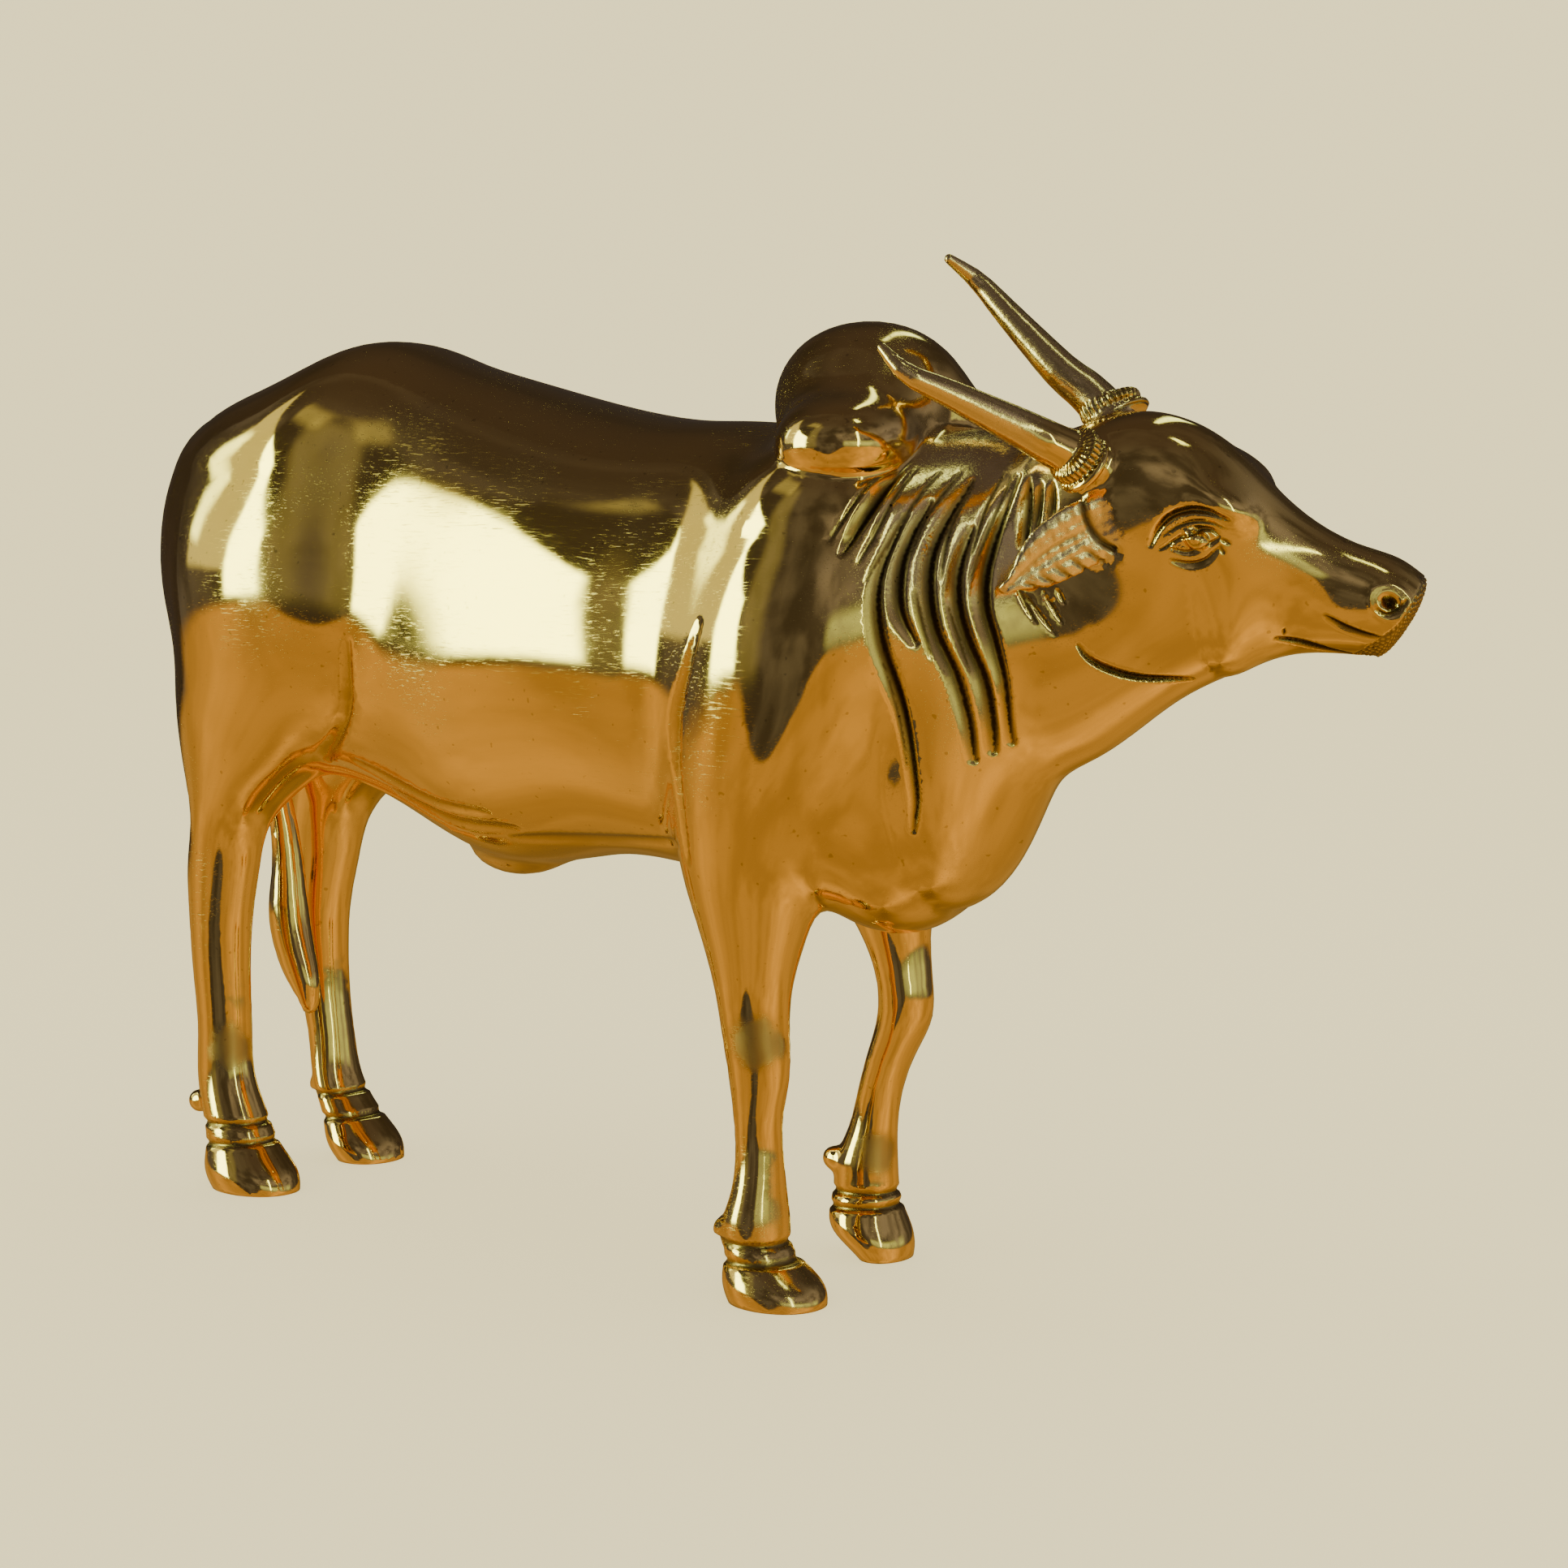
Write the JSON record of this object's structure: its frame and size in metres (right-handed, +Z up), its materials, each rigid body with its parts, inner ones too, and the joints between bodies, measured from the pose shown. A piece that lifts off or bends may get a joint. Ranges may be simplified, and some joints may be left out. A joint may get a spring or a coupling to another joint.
{
  "type": "standing bull statue",
  "caption": "Standing humped bull with swept horns and its head turned to its left, one hollow brass casting polished by hand, resting on its hooves.",
  "frame": {"origin": "middle of the outline box, on the floor that the hooves stand on", "axes": "+X is the way the bull faces, +Y is its left side, +Z is up"},
  "size_m": [0.3694, 0.1052, 0.2552],
  "materials": {
    "brass": "polished"
  },
  "bodies": {
    "root": {"bull": "brass"}
  },
  "joints": []
}
